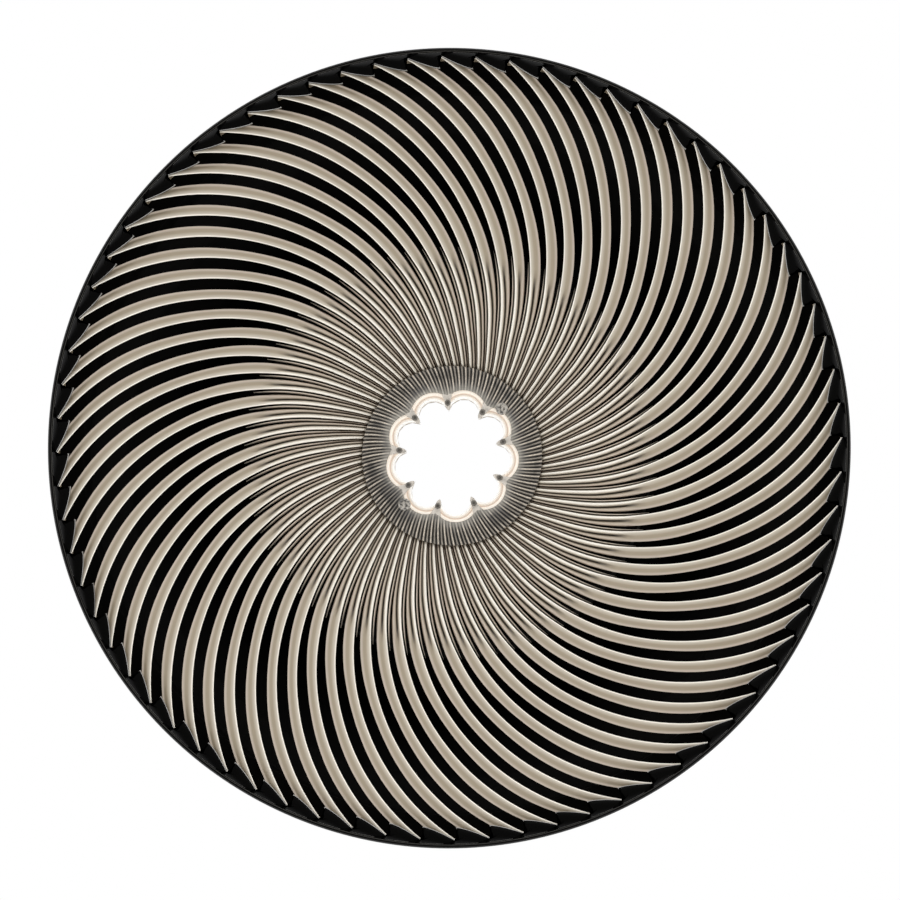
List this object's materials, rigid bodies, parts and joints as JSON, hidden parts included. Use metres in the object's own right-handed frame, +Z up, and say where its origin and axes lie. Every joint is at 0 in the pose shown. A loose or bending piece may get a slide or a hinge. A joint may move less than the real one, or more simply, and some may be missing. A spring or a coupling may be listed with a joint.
{
  "type": "ceiling air diffuser",
  "caption": "Round swirl ceiling air diffuser: recessed cone of curved champagne vanes in a slim black rim, open lobed centre, rear hood, duct neck, rotary damper and turn clips.",
  "frame": {"origin": "centre of the rim's lowest edge, on the diffuser's axis", "axes": "+Z up along the diffuser's axis into the ceiling void, towards the duct; the face looks down -Z"},
  "size_m": [0.6, 0.6, 0.2141],
  "materials": {
    "gloss_black": "gloss, moulded",
    "champagne_satin": "satin champagne lacquer",
    "smoked_plastic": "smoked, polished",
    "cream_plastic": "soft gloss cream",
    "black_steel": "matt black powder coat",
    "dark_steel": "blackened steel",
    "zinc_steel": "galvanised, spangled",
    "nylon": "natural nylon",
    "foam": "closed-cell foam",
    "seal_rubber": "EPDM rubber"
  },
  "bodies": {
    "root": {"rim_hoop": "gloss_black", "face_ring": "gloss_black", "vane_disc": "champagne_satin", "fluted_core": "champagne_satin", "smoke_collar": "smoked_plastic", "lobed_trim": "cream_plastic", "core_clamp": "black_steel", "flange_ring": "black_steel", "rear_hood": "black_steel", "lobe_screw_1": "dark_steel", "lobe_screw_2": "dark_steel", "lobe_screw_3": "dark_steel", "lobe_screw_4": "dark_steel", "lobe_screw_5": "dark_steel", "lobe_screw_6": "dark_steel", "lobe_screw_7": "dark_steel", "lobe_screw_8": "dark_steel", "lobe_screw_9": "dark_steel", "centre_screw_1": "dark_steel", "centre_screw_2": "dark_steel", "rim_screw_1": "dark_steel", "rim_screw_2": "dark_steel", "rim_screw_3": "dark_steel", "rim_screw_4": "dark_steel", "rim_screw_5": "dark_steel", "rim_screw_6": "dark_steel", "clip_spring_1": "dark_steel", "clip_spring_2": "dark_steel", "clip_spring_3": "dark_steel", "neck_spigot": "zinc_steel", "damper_plate": "zinc_steel", "rotor_keeper_1": "zinc_steel", "rotor_keeper_2": "zinc_steel", "rotor_keeper_3": "zinc_steel", "clip_post_1": "zinc_steel", "clip_post_2": "zinc_steel", "clip_post_3": "zinc_steel", "clip_nut_1": "zinc_steel", "clip_nut_2": "zinc_steel", "clip_nut_3": "zinc_steel", "hanger_lug_1": "zinc_steel", "hanger_lug_2": "zinc_steel", "hanger_lug_3": "zinc_steel", "ceiling_gasket": "foam", "neck_seal": "seal_rubber"},
    "damper": {"damper_rotor": "zinc_steel", "damper_lever": "zinc_steel", "lever_grip": "nylon"},
    "clip_bush_body_1": {"clip_bush_1": "nylon"},
    "clip_jaw_body_1": {"clip_jaw_1": "dark_steel"},
    "clip_bush_body_2": {"clip_bush_2": "nylon"},
    "clip_jaw_body_2": {"clip_jaw_2": "dark_steel"},
    "clip_bush_body_3": {"clip_bush_3": "nylon"},
    "clip_jaw_body_3": {"clip_jaw_3": "dark_steel"}
  },
  "joints": [
    {"name": "damper_turn", "type": "hinge", "parent": "root", "child": "damper", "pos_m": [0, 0, 0.1545], "axis": [0, 0, 1], "range_deg": [0, 20]},
    {"name": "clip_lift_1", "type": "slide", "parent": "root", "child": "clip_bush_body_1", "axis": [0, 0, 1], "range_m": [0, 0.008], "stiffness_N_per_m": 900, "springref_m": -0.004, "deforming": ["clip_spring_1"]},
    {"name": "clip_swing_1", "type": "hinge", "parent": "clip_bush_body_1", "child": "clip_jaw_body_1", "pos_m": [0.24422, 0.141, 0.0408], "axis": [0, 0, 1], "range_deg": [-90, 0]},
    {"name": "clip_lift_2", "type": "slide", "parent": "root", "child": "clip_bush_body_2", "axis": [0, 0, 1], "range_m": [0, 0.008], "stiffness_N_per_m": 900, "springref_m": -0.004, "deforming": ["clip_spring_2"]},
    {"name": "clip_swing_2", "type": "hinge", "parent": "clip_bush_body_2", "child": "clip_jaw_body_2", "pos_m": [-0.24422, 0.141, 0.0408], "axis": [0, 0, 1], "range_deg": [-90, 0]},
    {"name": "clip_lift_3", "type": "slide", "parent": "root", "child": "clip_bush_body_3", "axis": [0, 0, 1], "range_m": [0, 0.008], "stiffness_N_per_m": 900, "springref_m": -0.004, "deforming": ["clip_spring_3"]},
    {"name": "clip_swing_3", "type": "hinge", "parent": "clip_bush_body_3", "child": "clip_jaw_body_3", "pos_m": [0, -0.282, 0.0408], "axis": [0, 0, 1], "range_deg": [-90, 0]}
  ]
}
